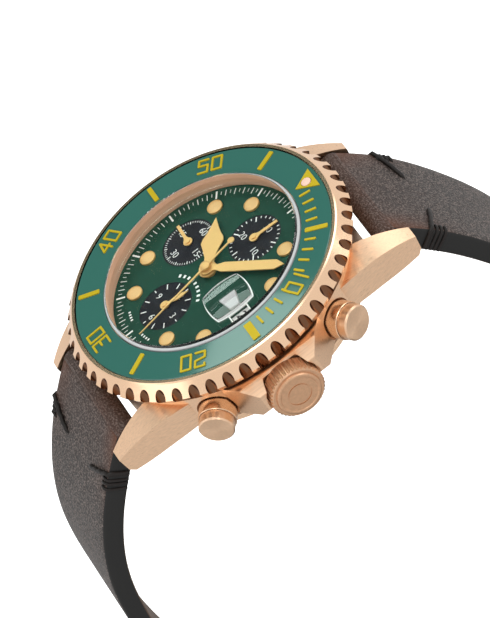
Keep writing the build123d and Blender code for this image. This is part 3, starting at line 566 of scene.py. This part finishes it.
def smooth_line(points, count):
    """Points and directions of the cubic spline through the given (y, z) points."""
    p = np.array(points, float)
    knots = np.concatenate([[0], np.cumsum(np.hypot(*np.diff(p, axis=0).T))])
    n, h = len(p), np.diff(knots)
    system, right = np.zeros((n, n)), np.zeros((n, 2))
    slope = np.diff(p, axis=0) / h[:, None]
    for i in range(1, n - 1):
        system[i, i - 1:i + 2] = h[i], 2 * (h[i - 1] + h[i]), h[i - 1]
        right[i] = 3 * (h[i] * slope[i - 1] + h[i - 1] * slope[i])
    system[0, 0] = system[-1, -1] = 1
    right[0] = slope[0] + (slope[0] - slope[1]) * h[0] / (h[0] + h[1])
    right[-1] = slope[-1] + (slope[-1] - slope[-2]) * h[-1] / (h[-1] + h[-2])
    d = np.linalg.solve(system, right)
    places, ways = [], []
    for t in np.linspace(0, knots[-1], count):
        i = min(n - 2, int(np.searchsorted(knots, t, side="right")) - 1)
        u = (t - knots[i]) / h[i]
        a, b = p[i], p[i + 1]
        places.append((2 * u**3 - 3 * u**2 + 1) * a + (u**3 - 2 * u**2 + u) * h[i] * d[i]
                      + (3 * u**2 - 2 * u**3) * b + (u**3 - u**2) * h[i] * d[i + 1])
        way = ((6 * u**2 - 6 * u) / h[i] * (a - b) + (3 * u**2 - 4 * u + 1) * d[i]
               + (3 * u**2 - 2 * u) * d[i + 1])
        ways.append(way / np.linalg.norm(way))
    return np.array(places), np.array(ways)


def strap_half_width(z):
    share = min(1.0, max(0.0, (2 - z) / 40))
    return STRAP_HALF + (STRAP_TAIL - STRAP_HALF) * share


def strap_thickness(z):
    share = min(1.0, max(0.0, -z / 45))
    return STRAP_THICK + (STRAP_THIN - STRAP_THICK) * share


def section(half, thick, shrink=0.0):
    """Closed cross-section of the strap as (across, depth below the outer face) corners."""
    edge = 0.38
    across = half - shrink
    count = 14
    face = [(-across + edge + (across - edge) * 2 * i / count, 0.0) for i in range(count + 1)]
    turns = (pi / 6, pi / 3, pi / 2)
    bend = [(across - edge + edge * sin(a), edge - edge * cos(a)) for a in turns]
    side = [(across, edge + (thick - 2 * edge) * s) for s in (0.33, 0.66, 1.0)]
    under = [(across - edge + edge * cos(a), thick - edge + edge * sin(a)) for a in turns]
    back = [(-x, d) for x, d in reversed(under)] + [(-x, d) for x, d in reversed(side)]
    bend_back = [(-x, d) for x, d in reversed(bend)]
    return face + bend + side + under + back + bend_back


def at_station(place, way, x, depth):
    """Point of the strap across x and this deep under its outer face, in metres."""
    inward = Vector((0, way[1], -way[0]))
    return Vector((x, place[0] + inward.y * depth, place[1] + inward.z * depth)) * MM


def strap_mesh(name, outer, side, body, node, tail=0.0, tip=0.0):
    """One strap half as a skin over its stations; side is +1 at 12 o'clock and -1 at 6 o'clock."""
    places, ways = smooth_line(outer, 100)
    if tail:
        steps = np.linspace(0, tail, 26)[1:]
        places = np.vstack([places, places[-1] + steps[:, None] * ways[-1]])
        ways = np.vstack([ways, np.repeat(ways[-1:], len(steps), axis=0)])
    lengths = np.concatenate([[0], np.cumsum(np.hypot(*np.diff(places, axis=0).T))])
    total = lengths[-1]
    points, burnish = [], []
    for (y, z), way, along in zip(places, ways, lengths):
        half = strap_half_width(z)
        if tip and total - along < tip:
            share = (total - along) / tip
            half *= max(0.16, (1 - (1 - share) ** 2.4) ** 0.5)
        for x, depth in section(half, strap_thickness(z)):
            points.append(at_station((y, z), way, x, depth))
            rim = max(0.0, 1 - (half - abs(x)) / 4.5) if depth < 0.2 else 0.0
            end = max(0.0, 1 - along / 15)
            burnish.append(min(1.0, end ** 1.5 * (0.15 + 0.65 * rim)))
    ring = len(section(10, 3))
    faces, kinds = [], []
    for i in range(len(places) - 1):
        for k in range(ring):
            n = (k + 1) % ring
            faces.append([i * ring + k, i * ring + n, (i + 1) * ring + n, (i + 1) * ring + k])
            kinds.append(0 if k < 15 or k == ring - 1 else 1 if k < 21 or k > ring - 7 else 2)
    faces.append(list(reversed(range(ring))))
    faces.append([(len(places) - 1) * ring + k for k in range(ring)])
    kinds += [1, 1]
    if side < 0:
        points = [Vector((p.x, -p.y, p.z)) for p in points]
        faces = [list(reversed(f)) for f in faces]
    piece = add_mesh(name, points, faces, [LEATHER, EDGE, LINING], body, smooth=True)
    piece.data.polygons.foreach_set("material_index", kinds)
    attribute = piece.data.attributes.new("burnish", "FLOAT", "POINT")
    attribute.data.foreach_set("value", burnish)
    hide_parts(node)
    return piece


def bar_loop(name, at, radii, span, body):
    """Leather rolled round a bar that lies along X through the (y, z) point at."""
    outer_r, inner_r = radii
    low, high = span
    points, faces, steps = [], [], 40
    rows = [(low, outer_r - 0.2), (low + 0.25, outer_r), (high - 0.25, outer_r), (high, outer_r - 0.2),
            (high, inner_r), (low, inner_r)]
    for x, r in rows:
        points += [Vector((x, at[0] + r * sin(a), at[1] + r * cos(a))) * MM
                   for a in np.linspace(0, 2 * pi, steps, endpoint=False)]
    for row in range(6):
        for k in range(steps):
            n = (k + 1) % steps
            a, b = row * steps, (row + 1) % 6 * steps
            faces.append([a + k, b + k, b + n, a + n])
    piece = add_mesh(name, points, faces, LEATHER, body, smooth=True)
    attribute = piece.data.attributes.new("burnish", "FLOAT", "POINT")
    attribute.data.foreach_set("value", [0.3] * len(points))


def cut_away(piece, cutter):
    """Takes the cutter's solid out of a piece."""
    cutter.data.materials.append(EDGE)
    cut = piece.modifiers.new("cut", "BOOLEAN")
    cut.object, cut.operation, cut.solver = cutter, "DIFFERENCE", "EXACT"
    bpy.context.view_layer.update()
    mesh = bpy.data.meshes.new_from_object(piece.evaluated_get(bpy.context.evaluated_depsgraph_get()))
    piece.modifiers.clear()
    piece.data = mesh
    bpy.data.objects.remove(cutter)


strap_twelve = strap_mesh("strap_upper", TWELVE_OUTER, 1, "strap_12", "strap_12", tail=TAIL_LENGTH)
strap_six = strap_mesh("strap_lower", SIX_OUTER, -1, "strap_6", "strap_6", tip=14.0)
for side, half in ((1, "strap_12"), (-1, "strap_6")):
    bar_loop(f"{half}_bar_loop", (side * BAR_Y, BAR_Z), (1.72, 0.8), (-STRAP_HALF, STRAP_HALF), half)


def buckle_end(piece):
    """Rolls the upper half round the buckle's bar and slots it for the tang."""
    places, ways = smooth_line(TWELVE_OUTER, 3)
    end, way = places[-1], ways[-1]
    slot_half = 1.7
    corners = [at_station(end + way * along, way, x, depth)
               for along in (TAIL_LENGTH - 4, TAIL_LENGTH + 5)
               for depth in (-5, 5) for x in (-slot_half, slot_half)]
    mesh = bpy.data.meshes.new("tang_slot")
    sides = [[0, 1, 3, 2], [4, 6, 7, 5], [0, 4, 5, 1], [2, 3, 7, 6], [0, 2, 6, 4], [1, 5, 7, 3]]
    mesh.from_pydata([tuple(p) for p in corners], [], sides)
    cutter = bpy.data.objects.new("tang_slot", mesh)
    bpy.context.scene.collection.objects.link(cutter)
    cut_away(piece, cutter)
    bar = at_station(end + way * TAIL_LENGTH, way, 0, STRAP_THIN / 2) / MM
    for name, span in (("far", (-STRAP_TAIL, -slot_half)), ("crown", (slot_half, STRAP_TAIL))):
        bar_loop(f"strap_12_buckle_loop_{name}", (bar.y, bar.z), (1.5, 0.75), span, "strap_12")


def punch_holes(piece):
    """Cuts the seven buckle holes through the lower half."""
    steps, first, pitch = 500, 0.84, 0.052
    places, ways = smooth_line(SIX_OUTER, steps + 1)
    for i in range(7):
        index = round((first - pitch * i) * steps)
        (y, z), way = places[index], ways[index]
        bpy.ops.mesh.primitive_cylinder_add(vertices=24, radius=0.95 * MM, depth=14 * MM,
                                            location=(0, -y * MM, z * MM),
                                            rotation=(atan2(way[1], -way[0]), 0, 0))
        cut_away(piece, bpy.context.object)


def tube(name, path, radius, finish, body, sides=10):
    """Round thread along a list of points, with closed ends."""
    path = [Vector(p) for p in path]
    points, faces = [], []
    for i, p in enumerate(path):
        way = (path[min(i + 1, len(path) - 1)] - path[max(i - 1, 0)]).normalized()
        across = way.cross(Vector((0, 0, 1)) if abs(way.z) < 0.9 else Vector((1, 0, 0))).normalized()
        up = across.cross(way)
        r = radius[i] if isinstance(radius, list) else radius
        points += [p + (across * cos(a) + up * sin(a)) * r
                   for a in np.linspace(0, 2 * pi, sides, endpoint=False)]
    for i in range(len(path) - 1):
        for k in range(sides):
            n = (k + 1) % sides
            faces.append([i * sides + k, (i + 1) * sides + k, (i + 1) * sides + n, i * sides + n])
    faces.append(list(range(sides)))
    faces.append([(len(path) - 1) * sides + k for k in reversed(range(sides))])
    return add_mesh(name, points, faces, finish, body, smooth=True)


def stitches():
    """One thick waxed stitch at each edge of each half, wrapped over the side."""
    for side, body, outer in ((1, "strap_12", TWELVE_OUTER), (-1, "strap_6", SIX_OUTER)):
        places, ways = smooth_line(outer, 400)
        lengths = np.concatenate([[0], np.cumsum(np.hypot(*np.diff(places, axis=0).T))])

        def on_strap(x, along, height):
            i = int(np.searchsorted(lengths, along))
            place, way = places[i], ways[i]
            point = at_station(place, way, x, -height)
            return Vector((point.x, side * point.y, point.z))

        start = 6.3
        for hand in (1, -1):
            half = STRAP_HALF - 0.2
            where = f"stitch_{body}_{'crown' if hand > 0 else 'far'}"
            path = [on_strap(hand * (half - 5.2 + 5.3 * t), start + 2.2 * (1 - t),
                             0.16 + 0.14 * sin(pi * t)) for t in np.linspace(0, 1, 12)]
            path.insert(0, on_strap(hand * (half - 5.6), start + 2.6, -0.3))
            path += [on_strap(hand * (half + 0.25), start - 0.05, -d) for d in (0.25, 0.8, 1.5, 2.2, 2.8)]
            tube(where, path, 0.32 * MM, THREAD, body)
            for i in range(4):
                along = start + 0.75 * (i + 1) - 0.5
                ridge = [on_strap(hand * (half - 1.5 + 0.1 * i), along + 0.2, -0.15),
                         on_strap(hand * (half - 0.9), along + 0.1, 0.12),
                         on_strap(hand * (half - 0.2), along, 0.12)]
                ridge += [on_strap(hand * (half + 0.22 - 0.05 * abs(d - 1.2)), along, -d)
                          for d in (0.15, 0.7, 1.3, 1.9, 2.5, 3.0)]
                tube(f"{where}_wrap{i}", ridge, 0.24 * MM, THREAD, body)


# ---- keepers ------------------------------------------------------------------------------------
def keeper_piece(name, node, body, at):
    """Leather loop with rounded edges round the tail of the upper half."""
    places, ways = smooth_line(TWELVE_OUTER, 3)
    end, way = places[-1], ways[-1]
    half_in, wall, clear, room = STRAP_TAIL + 0.35, 1.2, 0.3, 3.0
    width = 5.0

    def loop(grow):
        """Rounded rectangle of (across, height over the outer face)."""
        x, low, high = half_in + grow, -STRAP_THIN - clear - grow, room + grow
        r = min(1.3, 0.25 + grow)
        corners = [(x - r, high - r, 0), (-x + r, high - r, 90),
                   (-x + r, low + r, 180), (x - r, low + r, 270)]
        return [(cx + r * cos(radians(a0 + a)), cy + r * sin(radians(a0 + a)))
                for cx, cy, a0 in corners for a in (0, 22.5, 45, 67.5, 90)]

    rows = [(0.0, 0.25), (0.0, width - 0.25), (0.25, width), (wall - 0.3, width),
            (wall - 0.06, width - 0.12), (wall, width - 0.45), (wall, 0.45), (wall - 0.06, 0.12),
            (wall - 0.3, 0.0), (0.25, 0.0)]
    points, faces = [], []
    for grow, along in rows:
        distance = at - width / 2 + along
        base = end + way * distance
        for x, h in loop(grow):
            points.append(at_station(base, way, x, -h))
    n = len(loop(0))
    for r in range(len(rows)):
        for k in range(n):
            m = (k + 1) % n
            a, b = r * n, (r + 1) % len(rows) * n
            faces.append([a + k, a + m, b + m, b + k])
    piece = add_mesh(name, points, faces, LEATHER, body, smooth=True)
    attribute = piece.data.attributes.new("burnish", "FLOAT", "POINT")
    attribute.data.foreach_set("value", [0.1] * len(points))
    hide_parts(node)


# ---- pusher springs -----------------------------------------------------------------------------
def pusher_spring_coil(name, angle):
    """Coil under a pusher's cap, built at one fixed length."""
    out = Vector((cos(radians(angle)), sin(radians(angle)), 0))
    side = Vector((-out.y, out.x, 0))
    up = Vector((0, 0, 1))
    low, high, radius, turns, steps = 20.2 * MM, 22.4 * MM, 1.55 * MM, 5, 20
    path = []
    for i in range(turns * steps + 1):
        a = 2 * pi * i / steps
        path.append(out * (low + (high - low) * i / (turns * steps)) + side * radius * cos(a)
                    + up * (STEM_Z + radius * sin(a)))
    coil = tube(name, path, 0.17 * MM, METALS["spring_steel"], "root", sides=8)
    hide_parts(name.replace("_coil", "_spring"))
    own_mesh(coil)


# ---- studio -------------------------------------------------------------------------------------
def studio():
    bpy.ops.mesh.primitive_plane_add(size=6.0, location=(0, 0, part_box("strap_6")[0].z - 0.0005))
    floor = bpy.context.object
    floor.name = "floor"
    paper = Finish("paper_white", base=(0.95, 0.95, 0.95), rough=0.9, specular=0.0, glow=(1, 1, 1),
                   glow_by=0.55)
    floor.data.materials.append(paper.material)
    floor.visible_glossy = False

    world = bpy.data.worlds.new("soft_studio")
    bpy.context.scene.world = world
    world.use_nodes = True
    nodes, links = world.node_tree.nodes, world.node_tree.links
    where = nodes.new("ShaderNodeTexCoord")
    split = nodes.new("ShaderNodeSeparateXYZ")
    links.new(where.outputs["Generated"], split.inputs[0])
    height = nodes.new("ShaderNodeMapRange")
    height.inputs["From Min"].default_value, height.inputs["From Max"].default_value = -1.0, 1.0
    links.new(split.outputs["Z"], height.inputs["Value"])
    ramp = nodes.new("ShaderNodeValToRGB")
    links.new(height.outputs["Result"], ramp.inputs["Fac"])
    stops = ramp.color_ramp.elements
    stops[0].position, stops[0].color = 0.0, (0.06, 0.06, 0.06, 1)
    stops[1].position, stops[1].color = 1.0, (0.9, 0.9, 0.9, 1)
    for place, level in ((0.17, 0.85), (0.35, 0.9), (0.5, 0.93), (0.7, 0.85), (0.83, 0.9), (0.93, 0.95)):
        stop = stops.new(place)
        stop.color = (level, level, level, 1)
    # a dark card where the flat crystal would mirror the sky
    card = nodes.new("ShaderNodeVectorMath")
    card.operation = "DOT_PRODUCT"
    card_way = (-0.755, -0.018, 0.655)
    card.inputs[1].default_value = card_way
    links.new(where.outputs["Generated"], card.inputs[0])
    shade = nodes.new("ShaderNodeMapRange")
    shade.interpolation_type = "SMOOTHSTEP"
    for socket, value in (("From Min", 0.84), ("From Max", 0.94), ("To Min", 1.0), ("To Max", 0.04)):
        shade.inputs[socket].default_value = value
    links.new(card.outputs["Value"], shade.inputs["Value"])
    background = nodes["Background"]
    links.new(ramp.outputs["Color"], background.inputs["Color"])
    links.new(shade.outputs["Result"], background.inputs["Strength"])

    def softbox(name, way, distance, size, power):
        """Soft lamp in a direction from the watch, facing it."""
        lamp = bpy.data.lights.new(name, "AREA")
        lamp.shape, lamp.size, lamp.size_y, lamp.energy = "RECTANGLE", size[0], size[1], power
        holder = bpy.data.objects.new(name, lamp)
        bpy.context.scene.collection.objects.link(holder)
        way = Vector(way).normalized()
        holder.location = way * distance
        holder.rotation_euler = (-way).to_track_quat("-Z", "Y").to_euler()

    softbox("far_softbox", (-0.526, 0.01, 0.85), 0.9, (0.46, 0.3), 1.6)
    bpy.data.lights["far_softbox"].color = (0.82, 1.0, 0.92)
    softbox("six_side_softbox", (0.1, -0.9, 0.55), 0.8, (0.5, 0.35), 0.6)
    softbox("near_softbox", (0.38, 0.1, 0.92), 0.9, (0.5, 0.25), 1.8)
    softbox("twelve_side_softbox", (-0.2, 0.8, 0.6), 0.8, (0.5, 0.35), 1.2)


def camera():
    lens = bpy.data.cameras.new("catalogue_camera")
    lens.lens, lens.sensor_width = 331.25, 36.0
    holder = bpy.data.objects.new("catalogue_camera", lens)
    bpy.context.scene.collection.objects.link(holder)
    right, up, back = (0.3891, 0.7960, -0.4636), (-0.5342, 0.6050, 0.5904), (0.7505, 0.0179, 0.6607)
    turn = Matrix((right, up, back)).transposed().to_4x4()
    holder.matrix_world = Matrix.Translation((0.5767, 0.0144, 0.5102)) @ turn
    bpy.context.scene.camera = holder


dress_nodes()
crystal_seal()
date_lens()
print_minute_track()
print_subdials()
print_dashes()
date_details()
buckle_end(strap_twelve)
punch_holes(strap_six)
stitches()
keeper_piece("upper_keeper", "fixed_keeper", "strap_12", TAIL_LENGTH - 7.2)
keeper_piece("sliding_keeper", "free_keeper", "free_keeper", TAIL_LENGTH - 16.0)
pusher_spring_coil("pusher_start_coil", 30)
pusher_spring_coil("pusher_reset_coil", -30)
studio()
camera()
bpy.context.scene.view_settings.view_transform = "Standard"
bpy.context.scene.view_settings.look = "None"
